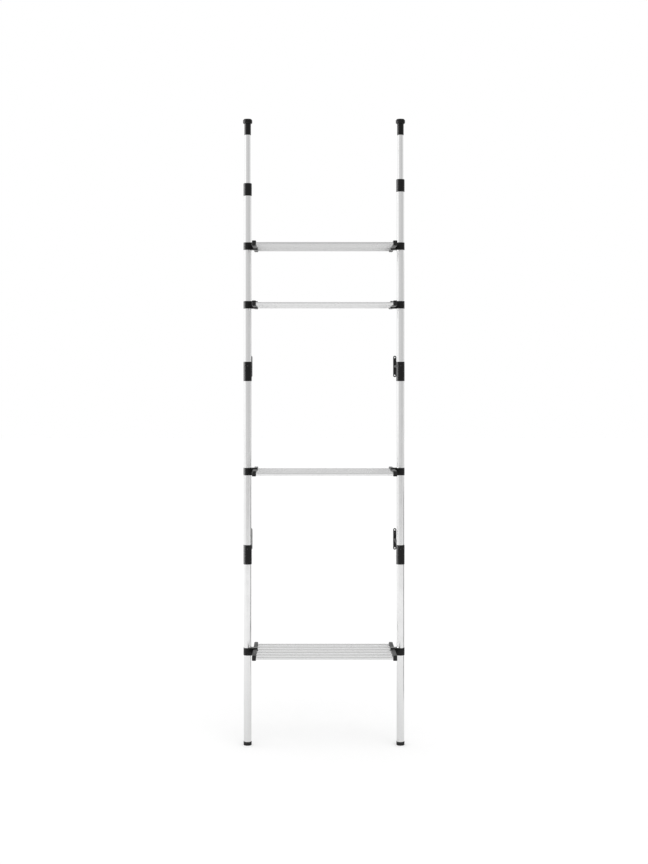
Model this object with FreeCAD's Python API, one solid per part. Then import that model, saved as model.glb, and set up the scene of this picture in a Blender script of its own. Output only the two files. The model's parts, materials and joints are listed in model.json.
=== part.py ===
"""Tension pole shelf unit: two floor-to-ceiling poles, four rod shelves, four wall arms.

Frame: millimetres, +Z up, +X to the right, -Y to the front. The origin lies on the floor,
midway between the poles and midway between the shelves' front edge and the wall.
Every sub-part is written to parts/NODE.step.
"""
import FreeCAD, Part
import math
import os

Vec = FreeCAD.Vector
UP = Vec(0, 0, 1)
RIGHT = Vec(1, 0, 0)
BACK = Vec(0, 1, 0)

# ---------------------------------------------------------------- layout
pole_spacing = 642.0          # between the two pole axes
wall_reach = 362.0            # pole axis to the wall
top_reach = 289.5             # the left upper tube's mouth to the ceiling
# each shelf's height above what it is set out from, with shelf 1 the highest
shelf_places = [("upper", 525.5), ("upper", 279.5), ("lower", 349.0), ("floor", 393.0)]

# ---------------------------------------------------------------- clearances
tube_clearance = 0.1          # radial, a tube in the socket of a fixed piece
slide_clearance = 0.1         # radial, a tube or rod in a piece that slides along it
turn_clearance = 0.3          # between pieces that turn or move past each other
screw_clearance = 0.1         # radial, a screw in its plain hole

# ---------------------------------------------------------------- pole tubes
tube_od = 31.8
tube_wall = 1.2
top_tube_od = 25.0
top_tube_wall = 1.2
lower_tube_length = 793.5
middle_tube_length = 765.0
upper_tube_length = 768.0
top_tube_length = 560.0
right_tube_lift = 17.0        # the right upper tube stands this much out of its coupler

# ---------------------------------------------------------------- feet
foot_height = 15.0
foot_floor = 4.0              # thickness under the tube
foot_wall = 1.3
foot_taper = 0.6              # the sole is this much smaller in radius than the rim
foot_plug_length = 23.0       # the spigot inside the tube
foot_chamfer = 1.0

# ---------------------------------------------------------------- couplers
coupler_length = 81.5
collar_od = 35.0              # couplers, shelf clamps and locking collars
coupler_rib = 4.0             # the stop between the two tubes
coupler_rib_depth = 2.3
coupler_round = 1.2
boss_rise = 24.0              # screw pad and arm socket above the coupler's middle
screw_pad_r = 9.0
screw_pad_proud = 1.6
set_screw_r = 2.5
arm_boss_length = 16.0        # behind the coupler's wall
arm_boss_wall = 3.4
arm_boss_draft = 1.2          # the boss is this much wider at its root

# ---------------------------------------------------------------- wall arms
arm_tube_od = 12.7
arm_tube_wall = 1.0
arm_tube_length = 190.0
arm_seat_depth = 13.0         # of the arm tube in its boss
wall_rod_overlap = 110.0      # of the rod in the arm tube
plate_length = 96.0
plate_width = 14.4
plate_thickness = 3.0
plate_hole_spacing = 80.0
plate_hole_r = 2.75
rod_shoulder_r = 6.2
rod_shoulder_length = 5.0
rod_pivot_r = 2.5
rod_rivet_r = 4.2
rod_rivet_height = 1.4

# ---------------------------------------------------------------- top lock
lock_height = 53.0
lock_skirt = 33.0             # of the locking collar over the upper tube
lock_chamfer = 1.5
lock_lip = 3.2                # thickness of the lip at its top
collet_spigot = 36.0          # of the guide collet inside the upper tube
collet_flange = 2.5
collet_root_r = 15.0
collet_tip_r = 13.9
collet_height = 13.5          # of the fingers above the flange
collet_slots = 6
collet_slot_width = 1.6
collet_slot_start = 2.5       # of the slots above the flange

# ---------------------------------------------------------------- top tube fittings
glide_height = 14.0
glide_spigot = 18.0
glide_bore_r = 8.0
seat_depth = 60.0             # of the spring seat below the top tube's end
seat_thickness = 8.0
cap_travel = 18.0
cap_stop_gap = 2.0            # above the tube's end when the spring is pressed flat
cap_flange_od = 39.0
cap_flange_height = 17.0
cap_round = 2.5
cap_under_chamfer = 3.0
cap_roof = 11.0
cap_sleeve_wall = 1.25
cap_sleeve_length = 47.5      # below the flange
cap_flutes = 18
cap_flute_r = 1.3
cap_stem_r = 4.0
cap_stem_head_r = 6.0
cap_stem_head = 5.0
pad_r = 16.6
pad_thickness = 4.0
pad_proud = 2.0
pad_chamfer = 0.8
spring_mean_r = 8.8
spring_wire = 1.7
spring_turns = 7
spring_facets = 8             # straight lengths in one turn

# ---------------------------------------------------------------- shelves
shelf_depth = 300.0
bar_width = 16.5
bar_height = 22.0
bar_round = 3.0
bar_end_round = 2.0
bar_offset = 31.5             # pole axis to the middle of the end bar
rod_count = 6
rod_pitch = 56.0
rod_od = 12.7
rod_wall = 0.8
rod_seat = 8.5                # of each rod in its end bar
rod_drop = 1.5                # rod axes below the middle of the bars
clamp_height = 31.5
clamp_arm_width = 24.0        # along the end bar
clamp_sleeve_wall = 2.5       # on the far side of the end bar
clamp_round = 1.2
clamp_boss_r = 6.0
clamp_boss_proud = 5.0        # screw boss behind the ring

# ---------------------------------------------------------------- worked out
pole_y = (shelf_depth / 2 - wall_reach) / 2
pole_x = {"left": -pole_spacing / 2, "right": pole_spacing / 2}
tube_r = tube_od / 2
tube_bore_r = tube_r - tube_wall
top_r = top_tube_od / 2
top_bore_r = top_r - top_tube_wall
collar_r = collar_od / 2
socket_r = tube_r + tube_clearance
upper_tube_lift = {"left": 0.0, "right": right_tube_lift}
lower_coupler_z = foot_floor + lower_tube_length + coupler_rib / 2
upper_coupler_z = lower_coupler_z + middle_tube_length + coupler_rib
datum_z = {"floor": 0.0, "lower": lower_coupler_z, "upper": upper_coupler_z}
ceiling_height = upper_coupler_z + coupler_rib / 2 + upper_tube_length + top_reach
cap_top = ceiling_height - pad_proud
cap_roof_z = cap_top - cap_roof
top_tube_top = cap_roof_z - cap_travel - cap_stop_gap
seat_top = top_tube_top - seat_depth


# ================================================================ helpers
def polygon_face(points):
    """A flat face through points in the XZ plane, given as (radius, height)."""
    corners = [Vec(r, 0, z) for r, z in points]
    corners.append(corners[0])
    return Part.Face(Part.makePolygon(corners))


def turned(points):
    """A solid of revolution about the Z axis from its half profile."""
    return polygon_face(points).revolve(Vec(0, 0, 0), UP, 360)


def rod_along(axis, radius, start, length):
    """A cylinder along an axis direction from a start point."""
    return Part.makeCylinder(radius, length, start, axis)


def pipe(outer_r, inner_r, z0, z1):
    """An upright tube about the Z axis."""
    return turned([(inner_r, z0), (outer_r, z0), (outer_r, z1), (inner_r, z1)])


def on_pole(shape, side, z=0.0):
    """Move a shape from the Z axis onto a pole's axis, at a height."""
    moved = shape.copy()
    moved.translate(Vec(pole_x[side], pole_y, z))
    return moved


def handed(shape, side):
    """The right-hand form, or its mirror image for the left pole."""
    if side == "right":
        return shape
    return shape.mirror(Vec(0, 0, 0), RIGHT)


def upper_tube_foot(side):
    """Height of the upper tube's lower end."""
    return upper_coupler_z + coupler_rib / 2 + upper_tube_lift[side]


def upper_tube_top(side):
    return upper_tube_foot(side) + upper_tube_length


# ================================================================ pole pieces
def make_foot():
    """A moulded cup under the tube, with a spigot that plugs it."""
    rim_r = socket_r + foot_wall
    sole_r = rim_r - foot_taper
    plug_r = tube_bore_r - tube_clearance
    plug_top = foot_floor + foot_plug_length
    return turned([
        (0, 0),
        (sole_r - foot_chamfer, 0),
        (sole_r, foot_chamfer),
        (rim_r, foot_height),
        (socket_r, foot_height),
        (socket_r, foot_floor),
        (plug_r, foot_floor),
        (plug_r, plug_top - foot_chamfer),
        (plug_r - foot_chamfer, plug_top),
        (0, plug_top),
    ])


def make_coupler():
    """A tube coupler with a stop rib, a front screw pad and a rear socket for the wall arm."""
    half = coupler_length / 2
    body = Part.makeCylinder(collar_r, coupler_length, Vec(0, 0, -half))
    rims = [edge for edge in body.Edges if edge.BoundBox.ZLength < coupler_round]
    body = body.makeFillet(coupler_round, rims)
    pad = rod_along(-BACK, screw_pad_r, Vec(0, 0, boss_rise), collar_r + screw_pad_proud)
    boss_r = arm_tube_od / 2 + tube_clearance + arm_boss_wall
    boss = Part.makeCone(boss_r + arm_boss_draft, boss_r, collar_r + arm_boss_length,
                         Vec(0, 0, boss_rise), BACK)
    body = body.fuse([pad, boss])
    rib = coupler_rib / 2
    bores = [
        Part.makeCylinder(socket_r, half - rib, Vec(0, 0, rib)),
        Part.makeCylinder(socket_r, half - rib, Vec(0, 0, -half)),
        Part.makeCylinder(socket_r - coupler_rib_depth, coupler_length, Vec(0, 0, -half)),
    ]
    screw_hole = rod_along(-BACK, set_screw_r + screw_clearance, Vec(0, 0, boss_rise),
                           collar_r + screw_pad_proud)
    seat_y = collar_r + arm_boss_length - arm_seat_depth
    arm_socket = rod_along(BACK, arm_tube_od / 2 + tube_clearance, Vec(0, seat_y, boss_rise),
                           arm_seat_depth)
    return body.cut(bores + [screw_hole, arm_socket]).removeSplitter()


def make_guide_collet():
    """A split guide in the upper tube's mouth: its fingers grip the top tube."""
    bore_r = top_r + slide_clearance
    spigot_r = tube_bore_r - tube_clearance
    top = collet_flange + collet_height
    body = turned([
        (bore_r, -collet_spigot),
        (spigot_r, -collet_spigot),
        (spigot_r, 0),
        (tube_r, 0),
        (tube_r, collet_flange),
        (collet_root_r, collet_flange),
        (collet_tip_r, top),
        (bore_r, top),
    ])
    slot = Part.makeBox(tube_r, collet_slot_width, top,
                        Vec(0, -collet_slot_width / 2, collet_flange + collet_slot_start))
    slots = []
    for index in range(collet_slots):
        cut = slot.copy()
        cut.rotate(Vec(0, 0, 0), UP, index * 360.0 / collet_slots)
        slots.append(cut)
    return body.cut(slots)


def make_locking_collar():
    """A sleeve nut over the collet: its inner cone squeezes the fingers."""
    top = lock_height - lock_skirt
    cone_foot = collet_flange + turn_clearance
    cone_top = collet_flange + collet_height + turn_clearance
    return turned([
        (socket_r, -lock_skirt),
        (collar_r - lock_chamfer, -lock_skirt),
        (collar_r, -lock_skirt + lock_chamfer),
        (collar_r, top - lock_chamfer),
        (collar_r - lock_chamfer, top),
        (top_r + turn_clearance, top),
        (top_r + turn_clearance, top - lock_lip),
        (collet_tip_r + turn_clearance, cone_top),
        (collet_root_r + turn_clearance, cone_foot),
        (socket_r, cone_foot),
    ])


def make_tube_glide():
    """A plug in the top tube's lower end that centres it in the upper tube."""
    spigot_r = top_bore_r - tube_clearance
    return turned([
        (glide_bore_r, -glide_height),
        (tube_bore_r - slide_clearance, -glide_height),
        (tube_bore_r - slide_clearance, 0),
        (spigot_r, 0),
        (spigot_r, glide_spigot),
        (glide_bore_r, glide_spigot),
    ])


def make_spring_seat():
    """A plug fixed in the top tube that carries the spring and guides the cap's stem."""
    outer_r = top_bore_r - tube_clearance
    bore_r = cap_stem_r + turn_clearance
    return pipe(outer_r, bore_r, seat_top - seat_thickness, seat_top)


def make_ceiling_cap():
    """Flange, sleeve over the top tube and a stem down through the spring."""
    sleeve_bore = top_r + slide_clearance
    sleeve_r = sleeve_bore + cap_sleeve_wall
    flange_r = cap_flange_od / 2
    flange_foot = cap_top - cap_flange_height
    stem_stop = seat_top - seat_thickness - turn_clearance
    recess = cap_top - (pad_thickness - pad_proud)
    body = turned([
        (0, recess),
        (pad_r, recess),
        (pad_r, cap_top),
        (flange_r - cap_round, cap_top),
        (flange_r, cap_top - cap_round),
        (flange_r, flange_foot + cap_under_chamfer),
        (flange_r - cap_under_chamfer, flange_foot),
        (sleeve_r, flange_foot),
        (sleeve_r, flange_foot - cap_sleeve_length),
        (sleeve_bore, flange_foot - cap_sleeve_length),
        (sleeve_bore, cap_roof_z),
        (cap_stem_r, cap_roof_z),
        (cap_stem_r, stem_stop),
        (cap_stem_head_r, stem_stop),
        (cap_stem_r, stem_stop - cap_stem_head),
        (0, stem_stop - cap_stem_head),
    ])
    flute = Part.makeCylinder(cap_flute_r, cap_flange_height,
                              Vec(flange_r + cap_flute_r / 2, 0, flange_foot))
    flutes = []
    for index in range(cap_flutes):
        cut = flute.copy()
        cut.rotate(Vec(0, 0, 0), UP, index * 360.0 / cap_flutes)
        flutes.append(cut)
    return body.cut(flutes)


def make_ceiling_pad():
    """A soft disc in the cap's recess."""
    base = ceiling_height - pad_thickness
    edge_r = pad_r - tube_clearance
    return turned([
        (0, base),
        (edge_r, base),
        (edge_r, ceiling_height - pad_chamfer),
        (edge_r - pad_chamfer, ceiling_height),
        (0, ceiling_height),
    ])


def make_spring():
    """A coil of square wire between the seat and the cap's roof, lofted station by station."""
    half = spring_wire / 2
    start = seat_top + half
    rise = cap_roof_z - seat_top - spring_wire
    steps = spring_turns * spring_facets
    sections = []
    for step in range(steps + 1):
        angle = 2 * math.pi * step / spring_facets
        z = start + rise * step / steps
        outward = Vec(math.cos(angle), math.sin(angle), 0)
        inner = outward * (spring_mean_r - half)
        outer = outward * (spring_mean_r + half)
        sections.append(Part.makePolygon([
            inner + UP * (z - half),
            outer + UP * (z - half),
            outer + UP * (z + half),
            inner + UP * (z + half),
            inner + UP * (z - half),
        ]))
    return Part.makeLoft(sections, True, True)


# ================================================================ wall arms
def make_arm_tube():
    """The arm's outer tube, from its boss towards the wall, about the Y axis."""
    outer_r = arm_tube_od / 2
    seat_y = collar_r + arm_boss_length - arm_seat_depth
    body = rod_along(BACK, outer_r, Vec(0, seat_y, 0), arm_tube_length)
    bore = rod_along(BACK, outer_r - arm_tube_wall, Vec(0, seat_y, 0), arm_tube_length)
    return body.cut(bore)


def make_wall_rod():
    """The sliding rod: shoulder against the plate, pivot through it and a flush rivet."""
    rod_r = arm_tube_od / 2 - arm_tube_wall - slide_clearance
    tube_end = collar_r + arm_boss_length - arm_seat_depth + arm_tube_length
    start = tube_end - wall_rod_overlap
    plate_front = wall_reach - plate_thickness
    shoulder_end = plate_front - turn_clearance
    profile = [
        (0, start),
        (rod_r, start),
        (rod_r, shoulder_end - rod_shoulder_length),
        (rod_shoulder_r, shoulder_end - rod_shoulder_length),
        (rod_shoulder_r, shoulder_end),
        (rod_pivot_r, shoulder_end),
        (rod_pivot_r, wall_reach - rod_rivet_height),
        (rod_rivet_r, wall_reach - turn_clearance),
        (0, wall_reach - turn_clearance),
    ]
    body = turned(profile)
    body.rotate(Vec(0, 0, 0), RIGHT, -90)
    return body


def make_wall_plate():
    """An upright plate with round ends, two screw holes and a countersunk pivot hole."""
    end_r = plate_width / 2
    straight = plate_length - plate_width
    front = wall_reach - plate_thickness
    body = Part.makeBox(plate_width, plate_thickness, straight,
                        Vec(-end_r, front, -straight / 2))
    ends = [
        rod_along(BACK, end_r, Vec(0, front, straight / 2), plate_thickness),
        rod_along(BACK, end_r, Vec(0, front, -straight / 2), plate_thickness),
    ]
    body = body.fuse(ends).removeSplitter()
    holes = []
    for sign in (-1, 1):
        place = Vec(0, front, sign * plate_hole_spacing / 2)
        holes.append(rod_along(BACK, plate_hole_r, place, plate_thickness))
    pivot_hole_r = rod_pivot_r + slide_clearance
    holes.append(rod_along(BACK, pivot_hole_r, Vec(0, front, 0), plate_thickness))
    # the countersink runs parallel to the rivet's cone, a turning clearance outside it
    slope = (rod_rivet_r - rod_pivot_r) / (rod_rivet_height - turn_clearance)
    sink_r = rod_rivet_r + turn_clearance * (1 + slope)
    sink = (sink_r - pivot_hole_r) / slope
    holes.append(Part.makeCone(pivot_hole_r, sink_r, sink, Vec(0, wall_reach - sink, 0), BACK))
    return body.cut(holes)


# ================================================================ shelf pieces
def make_end_bar():
    """A rounded bar from front to back with a blind socket for each rod in its inner face."""
    half_depth = shelf_depth / 2
    body = Part.makeBox(bar_width, shelf_depth, bar_height,
                        Vec(-bar_offset - bar_width / 2, -half_depth, -bar_height / 2))
    long_edges = [edge for edge in body.Edges
                  if abs(edge.Vertexes[0].Y - edge.Vertexes[1].Y) > half_depth]
    body = body.makeFillet(bar_round, long_edges)
    end_edges = [edge for edge in body.Edges if edge.BoundBox.YLength < bar_end_round]
    body = body.makeFillet(bar_end_round, end_edges)
    inner_x = -bar_offset - bar_width / 2
    sockets = []
    for index in range(rod_count):
        place = Vec(inner_x, rod_y(index), -rod_drop)
        sockets.append(rod_along(RIGHT, rod_od / 2 + tube_clearance, place, rod_seat))
    return body.cut(sockets)


def rod_y(index):
    """Place of a rod along the shelf's depth, from the pole axis."""
    return (index - (rod_count - 1) / 2) * rod_pitch


def make_rods():
    """The shelf's rods, side to side, as separate tubes."""
    inner_face = pole_spacing / 2 - bar_offset - bar_width / 2
    reach = inner_face + rod_seat
    rods = []
    for index in range(rod_count):
        place = Vec(-reach, rod_y(index), -rod_drop)
        outer = rod_along(RIGHT, rod_od / 2, place, 2 * reach)
        bore = rod_along(RIGHT, rod_od / 2 - rod_wall, place, 2 * reach)
        rods.append(outer.cut(bore))
    return Part.makeCompound(rods)


def make_shelf_clamp():
    """A ring on the pole and a closed sleeve round the end bar, in one moulding."""
    half = clamp_height / 2
    far_x = -bar_offset - bar_width / 2 - clamp_sleeve_wall
    side_y = clamp_arm_width / 2
    # the arm's sides run from the sleeve's far corners and touch the ring's circle
    reach = math.hypot(far_x, side_y)
    corner_angle = math.atan2(side_y, far_x)
    touch_angle = corner_angle - math.acos(collar_r / reach)
    touch_x = collar_r * math.cos(touch_angle)
    touch_y = collar_r * math.sin(touch_angle)
    ring_arc = Part.Arc(Vec(touch_x, -touch_y, -half), Vec(collar_r, 0, -half),
                        Vec(touch_x, touch_y, -half))
    outline = Part.Wire([
        ring_arc.toShape(),
        Part.makeLine(Vec(touch_x, touch_y, -half), Vec(far_x, side_y, -half)),
        Part.makeLine(Vec(far_x, side_y, -half), Vec(far_x, -side_y, -half)),
        Part.makeLine(Vec(far_x, -side_y, -half), Vec(touch_x, -touch_y, -half)),
    ])
    body = Part.Face(outline).extrude(UP * clamp_height)
    corners = [edge for edge in body.Edges
               if edge.BoundBox.ZLength > half and edge.BoundBox.Center.x < far_x + clamp_round]
    body = body.makeFillet(clamp_sleeve_wall, corners)
    rims = [edge for edge in body.Edges if edge.BoundBox.ZLength < clamp_round]
    body = body.makeFillet(clamp_round, rims)
    boss = rod_along(BACK, clamp_boss_r, Vec(0, 0, 0), collar_r + clamp_boss_proud)
    body = body.fuse(boss)
    pole_bore = Part.makeCylinder(tube_r + slide_clearance, clamp_height, Vec(0, 0, -half))
    # the bar's hole is as long as the ring is wide, because the arm widens towards the ring
    gap = tube_clearance
    bar_hole = Part.makeBox(bar_width + 2 * gap, collar_od, bar_height + 2 * gap,
                            Vec(-bar_offset - bar_width / 2 - gap, -collar_r,
                                -bar_height / 2 - gap))
    hole_edges = [edge for edge in bar_hole.Edges
                  if abs(edge.Vertexes[0].Y - edge.Vertexes[1].Y) > collar_r]
    bar_hole = bar_hole.makeFillet(bar_round + gap, hole_edges)
    screw_hole = rod_along(BACK, set_screw_r + screw_clearance, Vec(0, 0, 0),
                           collar_r + clamp_boss_proud)
    return body.cut([pole_bore, bar_hole, screw_hole]).removeSplitter()


# ================================================================ assembly
def build_pole(side):
    """Every piece of one pole, by node name."""
    rib = coupler_rib / 2
    tube_top = upper_tube_top(side)
    pieces = {
        "foot": on_pole(make_foot(), side),
        "lower_tube": on_pole(pipe(tube_r, tube_bore_r, foot_floor, lower_coupler_z - rib), side),
        "lower_coupler": on_pole(make_coupler(), side, lower_coupler_z),
        "middle_tube": on_pole(pipe(tube_r, tube_bore_r, lower_coupler_z + rib,
                                    upper_coupler_z - rib), side),
        "upper_coupler": on_pole(make_coupler(), side, upper_coupler_z),
        "upper_tube": on_pole(pipe(tube_r, tube_bore_r, upper_tube_foot(side), tube_top), side),
        "guide_collet": on_pole(make_guide_collet(), side, tube_top),
        "locking_collar": on_pole(make_locking_collar(), side, tube_top),
        "top_tube": on_pole(pipe(top_r, top_bore_r, top_tube_top - top_tube_length,
                                 top_tube_top), side),
        "tube_glide": on_pole(make_tube_glide(), side, top_tube_top - top_tube_length),
        "spring_seat": on_pole(make_spring_seat(), side),
        "cap_spring": on_pole(make_spring(), side),
        "ceiling_cap": on_pole(make_ceiling_cap(), side),
        "ceiling_pad": on_pole(make_ceiling_pad(), side),
    }
    return {side + "_" + name: shape for name, shape in pieces.items()}


def build_wall_arms(side):
    """The two wall arms of one pole, at its couplers."""
    pieces = {}
    for level, coupler_z in (("lower", lower_coupler_z), ("upper", upper_coupler_z)):
        name = side + "_" + level + "_"
        z = coupler_z + boss_rise
        pieces[name + "arm_tube"] = on_pole(make_arm_tube(), side, z)
        pieces[name + "wall_rod"] = on_pole(make_wall_rod(), side, z)
        pieces[name + "wall_plate"] = on_pole(make_wall_plate(), side, z)
    return pieces


def build_shelf(number, height):
    """One shelf: rods, end bars and clamps."""
    name = "shelf_" + str(number) + "_"
    rods = make_rods()
    rods.translate(Vec(0, pole_y, height))
    pieces = {name + "rods": rods}
    for side in ("left", "right"):
        pieces[name + side + "_bar"] = on_pole(handed(make_end_bar(), side), side, height)
        pieces[name + side + "_clamp"] = on_pole(handed(make_shelf_clamp(), side), side, height)
    return pieces


def main():
    nodes = {}
    for side in ("left", "right"):
        nodes.update(build_pole(side))
        nodes.update(build_wall_arms(side))
    for index, (datum, rise) in enumerate(shelf_places):
        nodes.update(build_shelf(index + 1, datum_z[datum] + rise))
    os.makedirs("parts", exist_ok=True)
    for name, shape in nodes.items():
        shape.exportStep("parts/" + name + ".step")
        print(name, "solids", len(shape.Solids), "valid", shape.isValid(),
              "volume", round(shape.Volume, 1))
    print(len(nodes), "nodes")


main()
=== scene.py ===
# %% [markdown]
# # A tension pole shelf unit
#
# Two steel poles are jammed between floor and ceiling and carry four rod shelves. Nearly every
# piece is round stock or a small black moulding, so the lesson is about three things: turning
# clean shapes from a profile, repeating them with Geometry Nodes, and giving drawn steel and
# moulded plastic a surface that holds up close.
#
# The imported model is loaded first. It fixes every size and place, and nothing here moves it.

# %% Load the frame
import json
import math

import bmesh
import bpy
from mathutils import Matrix, Vector

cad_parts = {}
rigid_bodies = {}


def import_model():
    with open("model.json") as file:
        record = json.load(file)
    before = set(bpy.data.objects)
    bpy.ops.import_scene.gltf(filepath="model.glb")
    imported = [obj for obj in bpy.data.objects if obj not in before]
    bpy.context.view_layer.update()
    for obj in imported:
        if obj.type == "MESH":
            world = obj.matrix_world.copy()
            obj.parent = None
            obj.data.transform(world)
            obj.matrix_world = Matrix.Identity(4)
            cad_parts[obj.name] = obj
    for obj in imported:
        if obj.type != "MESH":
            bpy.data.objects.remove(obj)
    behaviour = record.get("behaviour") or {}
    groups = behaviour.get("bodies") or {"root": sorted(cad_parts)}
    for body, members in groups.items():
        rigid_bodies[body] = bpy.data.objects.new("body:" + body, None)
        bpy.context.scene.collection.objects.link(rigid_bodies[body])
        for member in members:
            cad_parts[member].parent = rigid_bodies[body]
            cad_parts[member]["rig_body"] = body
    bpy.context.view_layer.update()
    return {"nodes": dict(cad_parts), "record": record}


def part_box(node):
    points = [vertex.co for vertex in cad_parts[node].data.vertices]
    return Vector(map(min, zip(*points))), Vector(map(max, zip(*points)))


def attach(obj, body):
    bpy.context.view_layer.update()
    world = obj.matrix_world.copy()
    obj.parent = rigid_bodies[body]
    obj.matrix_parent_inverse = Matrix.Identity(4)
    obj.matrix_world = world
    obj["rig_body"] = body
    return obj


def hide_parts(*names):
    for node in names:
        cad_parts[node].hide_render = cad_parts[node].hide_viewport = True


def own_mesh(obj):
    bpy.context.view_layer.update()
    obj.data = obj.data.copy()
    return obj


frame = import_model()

nodes = frame["nodes"]
SIDES = ("left", "right")
LEVELS = ("lower", "upper")
SHELVES = (1, 2, 3, 4)       # from the top down

# %% [markdown]
# ## The camera
#
# The unit is seen almost square on, from about eye height, so its upper shelves show their
# undersides and its lower ones their tops. A level camera with a small lens shift keeps the
# poles upright and parallel, as a view camera would. The shift is only what the framing needs.

# %% Camera
pole_low, pole_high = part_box("left_lower_tube")
POLE_Y = (pole_low.y + pole_high.y) / 2
CAMERA_DISTANCE = 5.88       # in front of the poles
CAMERA_HEIGHT = 1.541
CAMERA_ASIDE = -0.092        # left of the unit's middle
LONG_SIDE = 36.0             # sensor, millimetres
LENS = 58.3                  # millimetres
SHIFT_ASIDE = 0.0253
SHIFT_UP = -0.0625
VIEW_REACH = 100.0           # past the floor's far end

camera_data = bpy.data.cameras.new("view_camera")
camera_data.sensor_width = LONG_SIDE
camera_data.lens = LENS
camera_data.shift_x = SHIFT_ASIDE
camera_data.shift_y = SHIFT_UP
camera_data.clip_end = VIEW_REACH
camera = bpy.data.objects.new("view_camera", camera_data)
camera.location = (CAMERA_ASIDE, POLE_Y - CAMERA_DISTANCE, CAMERA_HEIGHT)
camera.rotation_euler = (math.radians(90), 0, 0)
bpy.context.scene.collection.objects.link(camera)
bpy.context.scene.camera = camera
bpy.context.scene.view_settings.view_transform = "Standard"
print("camera", CAMERA_DISTANCE, "m in front of the poles")

# %% [markdown]
# ## Wiring shader and geometry trees
#
# A few short helpers keep the trees readable. One makes a node, one links a socket or sets its
# value, one does that for a node's inputs by name, two stand for the Math and Map Range nodes,
# and the last two open a node group and a material.


# %% Tree helpers
def add(tree, kind, **settings):
    """A new node with some of its properties set."""
    node = tree.nodes.new(kind)
    for key, value in settings.items():
        setattr(node, key, value)
    return node


def join(tree, source, target):
    """Links an output socket to an input socket, or sets the input to a fixed value."""
    if isinstance(source, bpy.types.NodeSocket):
        tree.links.new(source, target)
    else:
        target.default_value = source


def feed(tree, node, **sources):
    """Fills a node's inputs by name, with _ for a space, and gives the node back."""
    for label, source in sources.items():
        join(tree, source, node.inputs[label.replace("_", " ")])
    return node


def maths(tree, operation, first, second):
    """The output of a Math node on two sockets or numbers."""
    node = add(tree, "ShaderNodeMath", operation=operation)
    join(tree, first, node.inputs[0])
    join(tree, second, node.inputs[1])
    return node.outputs[0]


def ramp(tree, value, start, stop, before, after, blend="LINEAR"):
    """A value carried from one span to another, and held at its two ends."""
    node = feed(tree, add(tree, "ShaderNodeMapRange", interpolation_type=blend), Value=value,
                From_Min=start, From_Max=stop, To_Min=before, To_Max=after)
    return node.outputs["Result"]


def new_group(name, inputs, outputs, kind="ShaderNodeTree"):
    """A node group with named sockets, given as (name, type, default)."""
    group = bpy.data.node_groups.new(name, kind)
    for label, socket_type, default in inputs:
        socket = group.interface.new_socket(label, in_out="INPUT", socket_type=socket_type)
        if default is not None:
            socket.default_value = default
    for label, socket_type in outputs:
        group.interface.new_socket(label, in_out="OUTPUT", socket_type=socket_type)
    return group, add(group, "NodeGroupInput"), add(group, "NodeGroupOutput")


def new_material(name):
    """An empty material, its tree and its Principled shader."""
    material = bpy.data.materials.new(name)
    material.use_nodes = True
    tree = material.node_tree
    tree.nodes.clear()
    shader = add(tree, "ShaderNodeBsdfPrincipled")
    feed(tree, add(tree, "ShaderNodeOutputMaterial"), Surface=shader.outputs["BSDF"])
    return material, tree, shader


# %% [markdown]
# ## Drawn steel
#
# The tubes are drawn through a die, which leaves hair-fine lines along their length, and their
# silver coat is a little cloudy. Both effects come from stretched and plain noise. They sit in
# one node group, because tubes, rods and screws all use them with other directions and scales.
# The direction is a stretch: the coordinate that runs along the tube is scaled far less than
# the two across it.


# %% Drawn steel group
def build_drawn_group():
    """Fine lines along one direction and soft clouds, both from 0 to 1."""
    inputs = [
        ("Vector", "NodeSocketVector", None),
        ("Stretch", "NodeSocketVector", (1.0, 1.0, 1.0)),
        ("Cloud Scale", "NodeSocketFloat", 20.0),
    ]
    outputs = [("Lines", "NodeSocketFloat"), ("Clouds", "NodeSocketFloat")]
    group, start, end = new_group("drawn_steel", inputs, outputs)
    stretched = add(group, "ShaderNodeVectorMath", operation="MULTIPLY")
    join(group, start.outputs["Vector"], stretched.inputs[0])
    join(group, start.outputs["Stretch"], stretched.inputs[1])
    lines = feed(group, add(group, "ShaderNodeTexNoise"), Vector=stretched.outputs["Vector"],
                 Scale=1.0, Detail=3.0, Roughness=0.6)
    clouds = feed(group, add(group, "ShaderNodeTexNoise"), Vector=start.outputs["Vector"],
                  Scale=start.outputs["Cloud Scale"], Detail=4.0, Roughness=0.55)
    feed(group, end, Lines=lines.outputs["Fac"], Clouds=clouds.outputs["Fac"])
    return group


drawn_group = build_drawn_group()
print("group", drawn_group.name)

# %% [markdown]
# ## Moulded grain
#
# Couplers, clamps and caps come from spark-eroded tools, so their black surface has an even,
# very fine grain with broader patches where the melt cooled unevenly. The powder coat on the
# wall plates is the same idea at a larger scale, so both share this group.


# %% Moulded grain group
def build_grain_group():
    """A fine grain and broad patches, both from 0 to 1."""
    inputs = [
        ("Vector", "NodeSocketVector", None),
        ("Grain Scale", "NodeSocketFloat", 1500.0),
        ("Patch Scale", "NodeSocketFloat", 45.0),
    ]
    outputs = [("Grain", "NodeSocketFloat"), ("Patches", "NodeSocketFloat")]
    group, start, end = new_group("moulded_grain", inputs, outputs)
    grain = feed(group, add(group, "ShaderNodeTexVoronoi", feature="SMOOTH_F1"),
                 Vector=start.outputs["Vector"], Scale=start.outputs["Grain Scale"])
    patches = feed(group, add(group, "ShaderNodeTexNoise"), Vector=start.outputs["Vector"],
                   Scale=start.outputs["Patch Scale"], Detail=5.0)
    feed(group, end, Grain=grain.outputs["Distance"], Patches=patches.outputs["Fac"])
    return group


grain_group = build_grain_group()
print("group", grain_group.name)

# %% [markdown]
# ## From masks to a finish
#
# Every finish is built the same way: a mask picks a colour between two close greys, another sets
# the roughness, and a height gives the bump. What changes from one finish to the next is only
# the numbers, so one function takes them. Metallic, specular level and the like are the same all
# over a surface and are set on the shader itself.

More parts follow.
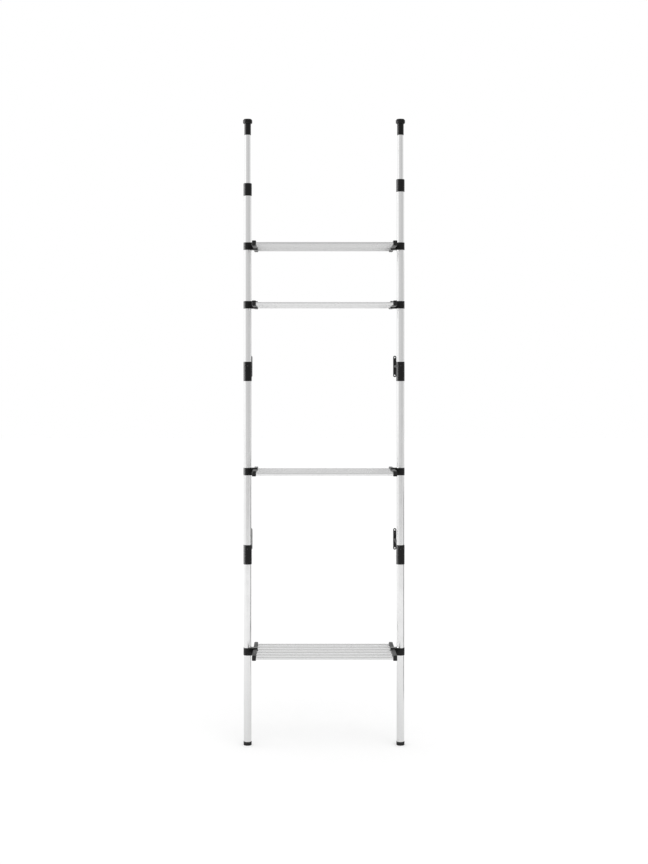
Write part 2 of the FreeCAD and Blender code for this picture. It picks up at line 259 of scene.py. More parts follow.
# %% Finish helpers
MASK_SPAN = (0.3, 0.7)       # most of a noise lies between these


def grey(value):
    """A neutral colour."""
    return (value, value, value, 1.0)


def paint(tree, shader, tone_mask, dark, light, rough_mask, smooth, rough):
    """Feeds colour and roughness from two masks."""
    tone = feed(tree, add(tree, "ShaderNodeMix", data_type="RGBA"), Factor=tone_mask,
                A=grey(dark), B=grey(light))
    feed(tree, shader, Base_Color=tone.outputs["Result"],
         Roughness=ramp(tree, rough_mask, *MASK_SPAN, smooth, rough))


def emboss(tree, shader, height, strength, depth):
    """Feeds a bump from a height mask."""
    bump = feed(tree, add(tree, "ShaderNodeBump"), Strength=strength, Distance=depth,
                Height=height)
    feed(tree, shader, Normal=bump.outputs["Normal"])


def use_group(tree, group, **values):
    """Places a shared group on Object coordinates, with its own values."""
    place = add(tree, "ShaderNodeTexCoord")
    return feed(tree, add(tree, "ShaderNodeGroup", node_tree=group),
                Vector=place.outputs["Object"], **values)


# %% [markdown]
# ## The finishes
#
# Steel first: bright coated tube, with the lines upright on the poles and across on the shelf
# rods, and a copy a shade greyer on the top shelf, which is painted shade. The blackened screws
# and the spring wire have the same marks, without a direction. Then come the black mouldings, the
# duller end bars, the rubber of feet and pads, the powder coat of arms and plates, and the pale
# nylon inside.

# %% Steel finishes
ACROSS = 1200.0              # drawn lines per metre, across the drawing direction
ALONG = 2.5                  # and along it
ALONG_POLE = (ACROSS, ACROSS, ALONG)
ALONG_ROD = (ALONG, ACROSS, ACROSS)
EVERY_WAY = (ACROSS, ACROSS, ACROSS)
CLOUDS = 22.0                # clouds per metre
LINE_BUMP = 0.06
LINE_DEPTH = 0.00002


def drawn_steel(name, stretch, dark, light, smooth, rough):
    """A metal finish with lines along the axis that the stretch scales least."""
    material, tree, shader = new_material(name)
    feed(tree, shader, Metallic=1.0)
    marks = use_group(tree, drawn_group, Stretch=stretch, Cloud_Scale=CLOUDS)
    lines = marks.outputs["Lines"]
    paint(tree, shader, lines, dark, light, marks.outputs["Clouds"], smooth, rough)
    emboss(tree, shader, lines, LINE_BUMP, LINE_DEPTH)
    return material


# name, way of the lines, darkest and lightest grey, least and most roughness
pole_steel = drawn_steel("coated_pole", ALONG_POLE, 0.78, 0.92, 0.12, 0.25)
rod_steel = drawn_steel("coated_rod", ALONG_ROD, 0.80, 0.94, 0.14, 0.28)
# the top shelf's copy is a shade greyer than the rod finish: painted shade, not a different coat
painted_shade_rod_steel = drawn_steel("coated_rod_painted_shade", ALONG_ROD, 0.64, 0.80, 0.14, 0.28)
screw_steel = drawn_steel("blackened_screw", EVERY_WAY, 0.05, 0.09, 0.30, 0.42)
wire_steel = drawn_steel("spring_wire", EVERY_WAY, 0.38, 0.46, 0.30, 0.42)
print("steel finishes", [m.name for m in (pole_steel, rod_steel, painted_shade_rod_steel, screw_steel,
                                          wire_steel)])

# %% Black and pale finishes
GRAIN_BUMP = 0.5


def moulded(name, dark, light, smooth, rough, grain_scale, patch_scale, depth, specular):
    """A dielectric finish with grain."""
    material, tree, shader = new_material(name)
    feed(tree, shader, Specular_IOR_Level=specular)
    marks = use_group(tree, grain_group, Grain_Scale=grain_scale, Patch_Scale=patch_scale)
    patches = marks.outputs["Patches"]
    paint(tree, shader, patches, dark, light, patches, smooth, rough)
    emboss(tree, shader, marks.outputs["Grain"], GRAIN_BUMP, depth)
    return material


# name, darkest and lightest grey, least and most roughness, grains and patches per metre,
# depth of the grain, specular level
black_moulding = moulded("black_moulding", 0.0020, 0.0050, 0.17, 0.32, 1300.0, 60.0, 0.00004, 0.25)
bar_moulding = moulded("bar_moulding", 0.004, 0.009, 0.36, 0.52, 1100.0, 50.0, 0.00005, 0.35)
foot_rubber = moulded("black_rubber", 0.010, 0.016, 0.55, 0.70, 1100.0, 45.0, 0.00006, 0.4)
pad_rubber = moulded("soft_pad", 0.018, 0.028, 0.70, 0.85, 900.0, 40.0, 0.00008, 0.3)
powder_coat = moulded("powder_coat", 0.006, 0.010, 0.45, 0.60, 700.0, 30.0, 0.00005, 0.3)
nylon = moulded("pale_nylon", 0.68, 0.76, 0.40, 0.50, 1200.0, 50.0, 0.00003, 0.5)
print("other finishes", [m.name for m in (black_moulding, bar_moulding, foot_rubber, pad_rubber,
                                          powder_coat, nylon)])

# %% [markdown]
# ## Shading a piece
#
# A piece is smooth except across its sharp edges. An eased corner shares its points with a long
# wall, and a plain smooth normal there would lean and shade the whole wall from end to end, so
# the Weighted Normal modifier lets the large faces decide. It is applied at once.

# %% Shading
SHARP = math.radians(32)     # edges above this angle stay sharp in shading


def shaded(name, mesh):
    """A linked object, smooth except across its sharp edges, with its long faces shaded flat."""
    mesh.shade_smooth()
    mesh.set_sharp_from_angle(angle=SHARP)
    piece = bpy.data.objects.new(name, mesh)
    bpy.context.scene.collection.objects.link(piece)
    weighting = piece.modifiers.new("weighting", "WEIGHTED_NORMAL")
    weighting.keep_sharp = True
    graph = bpy.context.evaluated_depsgraph_get()
    weighted = bpy.data.meshes.new_from_object(piece.evaluated_get(graph))
    piece.modifiers.clear()
    piece.data = weighted
    weighted.name = name
    return piece


# %% [markdown]
# ## Turning a profile
#
# A tube is a turned shape. A lathe in code is short: walk round a profile of radius and height,
# make a ring of points for each, and join neighbouring rings with quads. It gives even faces and
# a true circle, which a converted model rarely has. Corners of the profile are eased first,
# since a dead-sharp edge catches no light.

# %% Lathe
ROUND = 64                   # faces round a turned piece
EASE = 0.0003                # how far a corner is cut back
EASE_SHARE = 0.45            # the most of a short edge that it may take
EASE_STEPS = 3               # edges in an eased corner


def eased(profile):
    """The closed profile with each corner turned into a small curve."""
    points = [Vector(p) for p in profile]
    smooth = []
    for index, corner in enumerate(points):
        before = points[index - 1] - corner
        after = points[(index + 1) % len(points)] - corner
        reach = min(EASE, before.length * EASE_SHARE, after.length * EASE_SHARE)
        first = corner + before.normalized() * reach
        last = corner + after.normalized() * reach
        for step in range(EASE_STEPS + 1):
            t = step / EASE_STEPS
            smooth.append(first * (1 - t) ** 2 + corner * 2 * t * (1 - t) + last * t * t)
    return smooth


def turn(name, profile, place):
    """A turned piece from a closed profile, with its place in its mesh."""
    form = bmesh.new()
    angles = [2 * math.pi * index / ROUND for index in range(ROUND)]
    rings = [[form.verts.new((radius * math.cos(a), radius * math.sin(a), height))
              for a in angles] for radius, height in eased(profile)]
    for low, high in zip(rings, rings[1:] + rings[:1]):
        for index in range(ROUND):
            following = (index + 1) % ROUND
            form.faces.new((low[index], low[following], high[following], high[index]))
    bmesh.ops.recalc_face_normals(form, faces=form.faces)
    mesh = bpy.data.meshes.new(name)
    form.to_mesh(mesh)
    form.free()
    mesh.transform(place)
    return shaded(name, mesh)


# %% [markdown]
# ## Handing a piece over
#
# Each finished piece takes a material and rides on a body, and most stand for a node of the
# frame, which they hide. Two functions do all of it, so no piece can be left behind when a joint
# moves.

# %% Hand over
SLOT_OF = {part["node"]: part["material_slot"] for part in frame["record"]["subparts"]}
made = []


def carry(piece, material, body):
    """Gives a piece its finish and the body it moves with."""
    piece.data.materials.clear()
    piece.data.materials.append(material)
    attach(piece, body)
    made.append(piece.name)


def stand_for(piece, material, node):
    """The piece replaces this node and moves with its body."""
    carry(piece, material, nodes[node]["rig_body"])
    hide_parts(node)


# %% [markdown]
# ## The pole tubes
#
# Four lengths make a pole: three of 31.8 mm tube and a 25 mm one that slides in the last. Each
# is a ring profile, outer wall, rim, bore, rim, turned once. Height and radius are read from the
# frame, and only the wall thickness is given.

# %% Pole tubes
TUBE_WALL = 0.0012

for side in SIDES:
    for part in ("lower_tube", "middle_tube", "upper_tube", "top_tube"):
        node = side + "_" + part
        low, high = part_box(node)
        outer = (high.x - low.x) / 2
        inner = outer - TUBE_WALL
        ring = [(inner, low.z), (outer, low.z), (outer, high.z), (inner, high.z)]
        axis = Matrix.Translation(((low.x + high.x) / 2, POLE_Y, 0))
        stand_for(turn(node + "_steel", ring, axis), pole_steel, node)
print("pole tubes", len(made))

# %% [markdown]
# ## Working with geometry trees
#
# The trees that follow all begin and end alike: named inputs and one geometry out, and at the
# end Realize Instances, which turns copies into plain faces, and Set Material. Between them,
# shapes are often turned by a fixed angle and shifted. A tree is run once on an empty mesh, and
# what it made is kept as a plain piece.


# %% Geometry tree helpers
def new_tree(name, inputs):
    """A geometry tree with named inputs and one geometry output."""
    return new_group(name, inputs, [("Geometry", "NodeSocketGeometry")], "GeometryNodeTree")


def shifted(tree, geometry, turn_by=(0.0, 0.0, 0.0), shift=(0.0, 0.0, 0.0)):
    """A shape turned about the origin and then shifted."""
    transform = feed(tree, add(tree, "GeometryNodeTransform"), Geometry=geometry,
                     Rotation=turn_by, Translation=shift)
    return transform.outputs["Geometry"]


def along_y(tree, length):
    """A vector of this length along Y."""
    return feed(tree, add(tree, "ShaderNodeCombineXYZ"), Y=length).outputs["Vector"]


def finish_tree(tree, start, end, geometry):
    """Turns copies into plain faces, gives them the finish and ends the tree."""
    real = feed(tree, add(tree, "GeometryNodeRealizeInstances"), Geometry=geometry)
    dress = feed(tree, add(tree, "GeometryNodeSetMaterial"), Geometry=real.outputs["Geometry"],
                 Material=start.outputs["Finish"])
    feed(tree, end, Geometry=dress.outputs["Geometry"])


def grow(name, tree, **values):
    """Runs a tree once on an empty mesh and keeps the result as a plain piece."""
    seed = bpy.data.objects.new(name + "_seed", bpy.data.meshes.new(name + "_seed"))
    bpy.context.scene.collection.objects.link(seed)
    modifier = seed.modifiers.new(tree.name, "NODES")
    modifier.node_group = tree
    sockets = {s.name: s.identifier for s in tree.interface.items_tree if s.in_out == "INPUT"}
    for label, value in values.items():
        modifier[sockets[label.replace("_", " ")]] = value
    graph = bpy.context.evaluated_depsgraph_get()
    mesh = bpy.data.meshes.new_from_object(seed.evaluated_get(graph))
    mesh.name = name
    seed.modifiers.clear()
    bpy.data.objects.remove(seed)
    return shaded(name, mesh)


# %% [markdown]
# ## Shelf rods by Geometry Nodes
#
# Each shelf has six thin tubes in a row. They follow a rule, so a node tree makes them: a circle
# is the path, a thin rectangle as long as the rod is swept round it to give a closed tube wall,
# and that one tube is instanced on a row of points. The row's count, spacing and sizes are named
# inputs.

# %% Rod row tree
ROD_ROUND = 32               # faces round a rod
FROM_Z_TO_X = (0.0, math.radians(90), 0.0)


def build_rod_row():
    """A row of tubes along X, spaced along Y."""
    inputs = [
        ("Rods", "NodeSocketInt", 6),
        ("Pitch", "NodeSocketFloat", 0.056),
        ("Length", "NodeSocketFloat", 0.5),
        ("Radius", "NodeSocketFloat", 0.006),
        ("Wall", "NodeSocketFloat", 0.001),
        ("Place", "NodeSocketVector", (0.0, 0.0, 0.0)),
        ("Finish", "NodeSocketMaterial", None),
    ]
    tree, start, end = new_tree("rod_row", inputs)
    half_wall = maths(tree, "MULTIPLY", start.outputs["Wall"], 0.5)
    mid_radius = maths(tree, "SUBTRACT", start.outputs["Radius"], half_wall)
    circle = feed(tree, add(tree, "GeometryNodeCurvePrimitiveCircle"), Resolution=ROD_ROUND,
                  Radius=mid_radius)
    wall = feed(tree, add(tree, "GeometryNodeCurvePrimitiveQuadrilateral"),
                Width=start.outputs["Wall"], Height=start.outputs["Length"])
    sweep = feed(tree, add(tree, "GeometryNodeCurveToMesh"), Curve=circle.outputs["Curve"],
                 Profile_Curve=wall.outputs["Curve"])
    rod = shifted(tree, sweep.outputs["Mesh"], FROM_Z_TO_X)
    row = feed(tree, add(tree, "GeometryNodeMeshLine", mode="OFFSET"),
               Count=start.outputs["Rods"], Start_Location=start.outputs["Place"],
               Offset=along_y(tree, start.outputs["Pitch"]))
    copies = feed(tree, add(tree, "GeometryNodeInstanceOnPoints"), Points=row.outputs["Mesh"],
                  Instance=rod)
    finish_tree(tree, start, end, copies.outputs["Instances"])
    return tree


rod_row = build_rod_row()
print("tree", rod_row.name)

# %% Shelf rods
RODS = 6
ROD_RADIUS = 0.00635
ROD_WALL = 0.0008
# the top shelf's rods get the greyer copy of the rod finish, which is painted shade
TOP_SHELF = 1                # its rods are a shade greyer than the rest

for shelf in SHELVES:
    node = "shelf_" + str(shelf) + "_rods"
    low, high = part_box(node)
    pitch = (high.y - low.y - 2 * ROD_RADIUS) / (RODS - 1)
    first = Vector(((low.x + high.x) / 2, low.y + ROD_RADIUS, (low.z + high.z) / 2))
    finish = painted_shade_rod_steel if shelf == TOP_SHELF else rod_steel
    row = grow(node + "_steel", rod_row, Rods=RODS, Pitch=pitch, Length=high.x - low.x,
               Radius=ROD_RADIUS, Wall=ROD_WALL, Place=first, Finish=finish)
    stand_for(row, finish, node)

# %% [markdown]
# ## Mouldings taken from the frame
#
# Feet, couplers, collars, caps, clamps, end bars and plates have holes, bosses, flats and flutes
# that a lathe can't turn, and the frame already holds their exact shape as loose triangles. A
# copy is welded, its flat faces are merged back into whole faces, and its outer edges are eased
# by a narrow bevel, as a moulding tool leaves them.

# %% Eased copies
WELD = 2e-6                  # points nearer than this become one
FLAT = math.radians(0.5)     # faces within this angle become one
CRISP = math.radians(50)     # edges above this angle are eased
EDGE_FACES = 2               # faces across an eased edge
HALF_ROUND = 0.5             # a bevel profile that is an arc


def eased_copy(node, width):
    """A welded copy of a node with its sharp edges eased."""
    form = bmesh.new()
    form.from_mesh(nodes[node].data)
    bmesh.ops.remove_doubles(form, verts=form.verts, dist=WELD)
    bmesh.ops.dissolve_limit(form, angle_limit=FLAT, verts=form.verts, edges=form.edges)
    crisp = [edge for edge in form.edges
             if edge.is_manifold and edge.calc_face_angle(0.0) > CRISP]
    bmesh.ops.bevel(form, geom=crisp, offset=width, segments=EDGE_FACES, profile=HALF_ROUND,
                    affect="EDGES", clamp_overlap=True)
    bmesh.ops.triangulate(form, faces=[f for f in form.faces if len(f.verts) > 4])
    mesh = bpy.data.meshes.new(node + "_moulding")
    form.to_mesh(mesh)
    form.free()
    return shaded(node + "_moulding", mesh)


# %% Eased pieces
MOULD_EDGE = 0.0004
PLATE_EDGE = 0.0003

for side in SIDES:
    for part in ("foot", "lower_coupler", "upper_coupler", "locking_collar", "ceiling_cap"):
        node = side + "_" + part
        finish = foot_rubber if part == "foot" else black_moulding
        stand_for(eased_copy(node, MOULD_EDGE), finish, node)
    for level in LEVELS:
        node = side + "_" + level + "_wall_plate"
        stand_for(eased_copy(node, PLATE_EDGE), powder_coat, node)
for shelf in SHELVES:
    for side in SIDES:
        for part, finish in (("clamp", black_moulding), ("bar", bar_moulding)):
            node = "shelf_" + str(shelf) + "_" + side + "_" + part
            stand_for(eased_copy(node, MOULD_EDGE), finish, node)
print("pieces so far", len(made))

# %% [markdown]
# ## Grub screws by Geometry Nodes
#
# Headless screws pin the tubes in their couplers and grip the poles from inside the shelf
# clamps. Each is a short cylinder with a hex socket, cut by a Boolean. The screws of one body
# stand on a grid, across from pole to pole and up from coupler to coupler, so a grid of points
# carries the instances.

# %% Screw tree
SCREW_ROUND = 32             # faces round a screw
FROM_Z_TO_Y = (math.radians(90), 0.0, 0.0)
CORNER_OF_HEX = 1 / math.sqrt(3)    # from a hexagon's width to its corner radius


def build_screw_grid():
    """Grub screws that point along Y, on a grid of points across and up."""
    inputs = [
        ("Radius", "NodeSocketFloat", 0.0025),
        ("Length", "NodeSocketFloat", 0.004),
        ("Key Width", "NodeSocketFloat", 0.0025),
        ("Key Depth", "NodeSocketFloat", 0.002),
        ("Turn", "NodeSocketVector", (0.0, 0.0, 0.0)),
        ("Across", "NodeSocketFloat", 0.5),
        ("Up", "NodeSocketFloat", 0.0),
        ("Rows", "NodeSocketInt", 1),
        ("Middle", "NodeSocketVector", (0.0, 0.0, 0.0)),
        ("Finish", "NodeSocketMaterial", None),
    ]
    tree, start, end = new_tree("screw_grid", inputs)
    length = start.outputs["Length"]
    body = feed(tree, add(tree, "GeometryNodeMeshCylinder"), Vertices=SCREW_ROUND,
                Radius=start.outputs["Radius"], Depth=length)
    # the tip is at the origin and the socket's mouth at the far end
    laid_body = shifted(tree, body.outputs["Mesh"], FROM_Z_TO_Y,
                        along_y(tree, maths(tree, "MULTIPLY", length, 0.5)))
    key = feed(tree, add(tree, "GeometryNodeMeshCylinder"), Vertices=6,
               Radius=maths(tree, "MULTIPLY", start.outputs["Key Width"], CORNER_OF_HEX),
               Depth=maths(tree, "MULTIPLY", start.outputs["Key Depth"], 2.0))
    laid_key = shifted(tree, key.outputs["Mesh"], FROM_Z_TO_Y, along_y(tree, length))
    screw = add(tree, "GeometryNodeMeshBoolean", operation="DIFFERENCE", solver="EXACT")
    join(tree, laid_body, screw.inputs[0])
    join(tree, laid_key, screw.inputs[1])
    grid = feed(tree, add(tree, "GeometryNodeMeshGrid"), Vertices_X=2,
                Vertices_Y=start.outputs["Rows"], Size_X=start.outputs["Across"],
                Size_Y=start.outputs["Up"])
    stand = shifted(tree, grid.outputs["Mesh"], FROM_Z_TO_Y, start.outputs["Middle"])
    copies = feed(tree, add(tree, "GeometryNodeInstanceOnPoints"), Points=stand,
                  Instance=screw.outputs["Mesh"], Rotation=start.outputs["Turn"])
    finish_tree(tree, start, end, copies.outputs["Instances"])
    return tree


screw_grid = build_screw_grid()
print("tree", screw_grid.name)

# %% [markdown]
# ## Placing the screws
#
# Every screw starts at the skin of the tube. The coupler screws point to the front and stop
# just inside their flat pad, and the clamp screws point to the wall and stop inside their boss.

# %% Grub screws
SCREW_RADIUS = 0.0025
SKIN_GAP = 0.00005           # between a screw's tip and the tube
SCREW_SUNK = 0.0004          # the screw's face below the pad or boss
FRONTWARD = (0.0, 0.0, math.radians(180))
WALLWARD = (0.0, 0.0, 0.0)
SCREW_ABOVE_MIDDLE = 0.024   # of a coupler

left_low, left_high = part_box("left_lower_coupler")
above_low, above_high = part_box("left_upper_coupler")
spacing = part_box("right_lower_coupler")[0].x - left_low.x
tube_skin = (pole_high.y - pole_low.y) / 2 + SKIN_GAP    # from the pole's axis


def add_screws(name, body, length, turn_by, up, rows, middle):
    """One piece with the screws of one body."""
    screws = grow(name, screw_grid, Radius=SCREW_RADIUS, Length=length, Turn=turn_by,
                  Across=spacing, Up=up, Rows=rows, Middle=middle, Finish=screw_steel)
    carry(screws, screw_steel, body)
    print(name, "faces", len(screws.data.polygons))


lower_screw_z = (left_low.z + left_high.z) / 2 + SCREW_ABOVE_MIDDLE
upper_screw_z = (above_low.z + above_high.z) / 2 + SCREW_ABOVE_MIDDLE
add_screws("coupler_screws", "pole_frame", POLE_Y - left_low.y - tube_skin - SCREW_SUNK,
           FRONTWARD, up=upper_screw_z - lower_screw_z, rows=2,
           middle=Vector((0, POLE_Y - tube_skin, (lower_screw_z + upper_screw_z) / 2)))
for shelf in SHELVES:
    body = "shelf_" + str(shelf)
    clamp_low, clamp_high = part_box(body + "_left_clamp")
    add_screws(body + "_screws", body, clamp_high.y - POLE_Y - tube_skin - SCREW_SUNK,
               WALLWARD, up=0.0, rows=1,
               middle=Vector((0, POLE_Y + tube_skin, (clamp_low.z + clamp_high.z) / 2)))

# %% [markdown]
# ## Cap springs by Geometry Nodes
#
# Inside each ceiling cap a coil of wire pushes the cap up. A spiral with the same radius at both
# ends is a helix, and a small circle swept along it is the wire. When the cap is pressed the
# coil only shortens.

# %% Spring tree
COIL_STEPS = 36              # points in a turn of the coil
WIRE_ROUND = 10              # faces round the wire


def build_coil():
    """A wire coil that stands on a point."""
    inputs = [
        ("Turns", "NodeSocketFloat", 7.0),
        ("Mean Radius", "NodeSocketFloat", 0.009),
        ("Height", "NodeSocketFloat", 0.08),
        ("Wire Radius", "NodeSocketFloat", 0.001),
        ("Foot", "NodeSocketVector", (0.0, 0.0, 0.0)),
        ("Finish", "NodeSocketMaterial", None),
    ]
    tree, start, end = new_tree("wire_coil", inputs)
    helix = feed(tree, add(tree, "GeometryNodeCurveSpiral"), Resolution=COIL_STEPS,
                 Rotations=start.outputs["Turns"], Start_Radius=start.outputs["Mean Radius"],
                 End_Radius=start.outputs["Mean Radius"], Height=start.outputs["Height"])
    wire = feed(tree, add(tree, "GeometryNodeCurvePrimitiveCircle"), Resolution=WIRE_ROUND,
                Radius=start.outputs["Wire Radius"])
    sweep = feed(tree, add(tree, "GeometryNodeCurveToMesh"), Curve=helix.outputs["Curve"],
                 Profile_Curve=wire.outputs["Curve"], Fill_Caps=True)
    coil = shifted(tree, sweep.outputs["Mesh"], shift=start.outputs["Foot"])
    finish_tree(tree, start, end, coil)
    return tree


wire_coil = build_coil()
print("tree", wire_coil.name)

# %% Cap springs
SPRING_TURNS = 7.0
SPRING_MEAN_RADIUS = 0.0088
WIRE_RADIUS = 0.00085

for side in SIDES:
    node = side + "_cap_spring"
    low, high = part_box(node)
    tube_low, tube_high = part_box(side + "_top_tube")
    centre_x = (tube_low.x + tube_high.x) / 2
    foot = Vector((centre_x, POLE_Y, low.z + WIRE_RADIUS))
    coil = grow(node + "_coil", wire_coil, Turns=SPRING_TURNS, Mean_Radius=SPRING_MEAN_RADIUS,
                Height=high.z - low.z - 2 * WIRE_RADIUS, Wire_Radius=WIRE_RADIUS, Foot=foot,
                Finish=wire_steel)
    stand_for(coil, wire_steel, node)
    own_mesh(coil)

# %% [markdown]
# ## Finishes on the rest of the frame
#
# The remaining nodes already have the right shape. They keep it and only take a finish.

# %% Finish the remaining nodes
FINISH_OF_SLOT = {
    "silver_tube": pole_steel, "silver_rod": rod_steel, "black_plastic": black_moulding,
    "foot_rubber": foot_rubber, "pad_rubber": pad_rubber, "inner_plastic": nylon,
    "spring_steel": wire_steel, "black_steel": powder_coat,
}
for name, node in nodes.items():
    node.data.materials.clear()
    node.data.materials.append(FINISH_OF_SLOT[SLOT_OF[name]])
print("finished", len(nodes), "nodes")

# %% [markdown]
# ## The room
#
# A white studio. The camera sees plain white and matt surfaces get a plain even light, while
# bright metal mirrors a room: dimmer in front and a little to the right, dim in a narrower patch
# behind, darker on the right than on the left, and with a grey canopy overhead. Those are what
# give a satin tube its bands from every side. Each is a soft step along one direction, and their
# product is the room.

# %% World
LEFTWARD = (-1.0, 0.0, 0.0)
BACKWARD = (0.0, 1.0, 0.0)
SKYWARD = (0.0, 0.0, 1.0)
DIM_ASIDE = math.radians(15)    # from straight in front towards the right
DIM_SIDE = (math.sin(DIM_ASIDE), -math.cos(DIM_ASIDE), 0.0)
# direction, where the step starts and ends along it, and the levels at its two ends
ROOM_STEPS = (
    (DIM_SIDE, 0.05, 0.65, 1.0, 0.70),
    (LEFTWARD, -0.9, 0.2, 0.88, 1.0),
    (SKYWARD, 0.35, 0.75, 1.0, 0.80),
    (BACKWARD, 0.80, 0.97, 1.0, 0.78),
)
PLAIN_LIGHT = 0.85           # what matt surfaces get from every direction


def room_step(tree, ray, direction, *span_and_levels):
    """A soft step in brightness along one direction."""
    along = add(tree, "ShaderNodeVectorMath", operation="DOT_PRODUCT")
    join(tree, ray, along.inputs[0])
    join(tree, direction, along.inputs[1])
    return ramp(tree, along.outputs["Value"], *span_and_levels, blend="SMOOTHSTEP")


def seen_by(tree, path, *kinds):
    """One for these kinds of ray and zero for the rest."""
    seen = path.outputs[kinds[0]]
    for kind in kinds[1:]:
        seen = maths(tree, "MAXIMUM", seen, path.outputs[kind])
    return seen


def build_world():
    """White to the camera, a graded room in reflections and a plain light to the rest."""
    world = bpy.data.worlds.new("studio")
    world.use_nodes = True
    tree = world.node_tree
    tree.nodes.clear()
    look = add(tree, "ShaderNodeTexCoord")
    steps = [room_step(tree, look.outputs["Generated"], *values) for values in ROOM_STEPS]
    room = steps[0]
    for step in steps[1:]:
        room = maths(tree, "MULTIPLY", room, step)
    path = add(tree, "ShaderNodeLightPath")
    backdrop = feed(tree, add(tree, "ShaderNodeMix", data_type="FLOAT"),
                    Factor=path.outputs["Is Camera Ray"], A=room, B=1.0)
    shown = seen_by(tree, path, "Is Camera Ray", "Is Glossy Ray", "Is Transmission Ray")
    level = feed(tree, add(tree, "ShaderNodeMix", data_type="FLOAT"), Factor=shown,
                 A=PLAIN_LIGHT, B=backdrop.outputs["Result"])
    light = feed(tree, add(tree, "ShaderNodeBackground"), Color=grey(1.0),
                 Strength=level.outputs["Result"])
    feed(tree, add(tree, "ShaderNodeOutputWorld"), Surface=light.outputs["Background"])
    return world


bpy.context.scene.world = build_world()
print("world", bpy.context.scene.world.name)

# %% [markdown]
# ## The floor
#
# The floor is matt and takes the shadow of the feet. Lit as it is, it falls a little short of
# white, so a faint glow of its own lifts it, for the camera everywhere and for reflections in a
# wide ring round the unit. Two helpers make what the studio's floor and cards share.


# %% Studio helpers
def matt_finish(name, level):
    """A dead matt grey for things of the studio."""
    material, tree, shader = new_material(name)
    feed(tree, shader, Base_Color=grey(level), Roughness=1.0, Specular_IOR_Level=0.0)
    return material, tree, shader


def studio_sheet(name, corners, material):
    """A flat sheet with four corners that isn't part of the unit."""
    mesh = bpy.data.meshes.new(name)
    mesh.from_pydata(corners, [], [(0, 1, 2, 3)])
    mesh.materials.append(material)
    sheet = bpy.data.objects.new(name, mesh)
    bpy.context.scene.collection.objects.link(sheet)
    return sheet


# %% Floor
FLOOR_REACH = 30.0           # behind and to the sides
FLOOR_FRONT = -6.6           # just behind the camera
FLOOR_DROP = 0.0003          # under the feet, so that the two faces don't share a plane
FLOOR_GREY = 0.80
FLOOR_LIFT = 0.20            # brings the lit floor up to white for the camera
MIRRORED_LIFT = 0.21         # and in reflections, in the ring
RING_STARTS = 0.3            # distances from the middle of the unit
RING_FULL = 3.5
RING_FADES = 4.5
RING_ENDS = 8.0


def build_floor_finish():
    """Matt white with a faint glow that only the camera and reflections see."""
    material, tree, shader = matt_finish("floor_white", FLOOR_GREY)
    path = add(tree, "ShaderNodeLightPath")
    place = add(tree, "ShaderNodeTexCoord")
    away = add(tree, "ShaderNodeVectorMath", operation="LENGTH")
    join(tree, place.outputs["Object"], away.inputs[0])
    distance = away.outputs["Value"]
    ring = maths(tree, "MULTIPLY",
                 ramp(tree, distance, RING_STARTS, RING_FULL, 0.0, MIRRORED_LIFT),
                 ramp(tree, distance, RING_FADES, RING_ENDS, 1.0, 0.0))
    mirrored = maths(tree, "MULTIPLY", ring,
                     seen_by(tree, path, "Is Glossy Ray", "Is Transmission Ray"))
    seen = maths(tree, "MULTIPLY", path.outputs["Is Camera Ray"], FLOOR_LIFT)
    feed(tree, shader, Emission_Color=grey(1.0),
         Emission_Strength=maths(tree, "ADD", seen, mirrored))
    return material


floor_corners = [(x, y, -FLOOR_DROP) for x, y in (
    (-FLOOR_REACH, FLOOR_FRONT), (FLOOR_REACH, FLOOR_FRONT),
    (FLOOR_REACH, FLOOR_REACH), (-FLOOR_REACH, FLOOR_REACH))]
floor = studio_sheet("studio_floor", floor_corners, build_floor_finish())
print("floor", floor.name)

# %% [markdown]
# ## The lamps
#
# A weak, wide sun from above gives the feet their soft shadow, and no reflection shows it. A
# large softbox on the left is what the tubes and mouldings mirror there.

# %% Lamps
OVERHEAD_PLACE = (0.6, -2.0, 5.0)
OVERHEAD_SPREAD = math.radians(35)
OVERHEAD_POWER = 0.6
SOFTBOX_PLACE = (-3.21, POLE_Y + 0.25, 1.75)
SOFTBOX_SIZE = (2.46, 3.1)   # wide and high
SOFTBOX_POWER = 6.0


def lamp(name, kind, place, aim, power, **settings):
    """A lamp at a place, turned towards a point."""
    data = bpy.data.lights.new(name, kind)
    data.energy = power
    for key, value in settings.items():
        setattr(data, key, value)
    body = bpy.data.objects.new(name, data)
    body.location = place
    body.rotation_mode = "QUATERNION"
    body.rotation_quaternion = (Vector(aim) - Vector(place)).to_track_quat("-Z", "Y")
    bpy.context.scene.collection.objects.link(body)
    return body


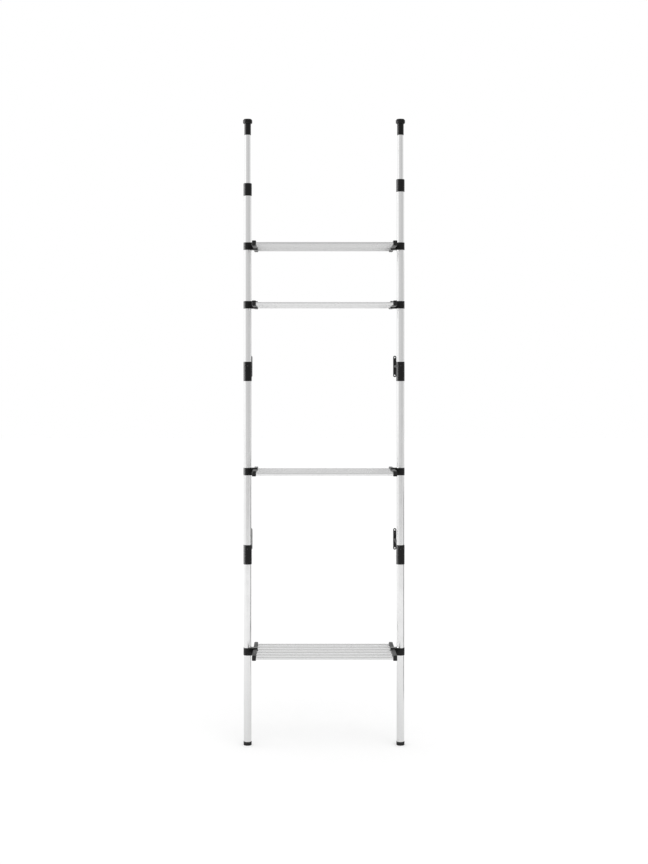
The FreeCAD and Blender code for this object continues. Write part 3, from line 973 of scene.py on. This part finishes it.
def softbox(name, place, power):
    """A tall panel of light that faces the poles and that the camera doesn't see."""
    box = lamp(name, "AREA", place, (0, POLE_Y, place[2]), power, shape="RECTANGLE",
               size=SOFTBOX_SIZE[0], size_y=SOFTBOX_SIZE[1])
    box.visible_camera = False
    return box


overhead = lamp("overhead", "SUN", OVERHEAD_PLACE, (0, 0, 0), OVERHEAD_POWER,
                angle=OVERHEAD_SPREAD)
overhead.visible_glossy = False
softbox("left_softbox", SOFTBOX_PLACE, SOFTBOX_POWER)

# %% [markdown]
# Black plastic gives back a few hundredths of what it mirrors, and steel nearly all of it, so one
# softbox can't draw a rim on the mouldings without burning out the tubes. Blender can link a
# lamp to a collection, and then only the pieces in it are lit. The stronger box stands a hand's
# width in front of the first and lights the mouldings alone.

# %% Rim light of the mouldings
RIM_AHEAD = 0.1
RIM_POWER = 150.0

rim_pieces = bpy.data.collections.new("black_mouldings")
for piece_name in made:
    piece = bpy.data.objects[piece_name]
    if piece.data.materials[0] in (black_moulding, bar_moulding):
        rim_pieces.objects.link(piece)
rim_box = softbox("rim_softbox", Vector(SOFTBOX_PLACE) + Vector((RIM_AHEAD, 0, 0)), RIM_POWER)
rim_box.light_linking.receiver_collection = rim_pieces

# %% [markdown]
# A bright room leaves the far edge of a tube with no outline. Photographers stand a dark card
# there, called a flag, and it shows only as a thin line down the edge. A tall one stands behind
# on the right and a low, paler one beside the unit, so the line is stronger on the lower tubes.
# Nothing but a reflection sees them.

# %% Flags
# name, place, width, height and grey
FLAGS = (
    ("right_flag", (1.62, 1.29), 0.70, 2.2, 0.35),
    ("low_flag", (1.15, 0.25), 0.76, 1.0, 0.52),
)

for name, place, width, height, level in FLAGS:
    aside = Vector((place[1] - POLE_Y, -place[0], 0)).normalized() * width / 2
    foot = Vector((place[0], place[1], 0))
    top = foot + Vector((0, 0, height))
    cloth = matt_finish(name + "_cloth", level)[0]
    flag = studio_sheet(name, [foot - aside, foot + aside, top + aside, top - aside], cloth)
    flag.visible_camera = False
    flag.visible_diffuse = False
    flag.visible_shadow = False
    print(name, width, "m wide and", height, "m high")
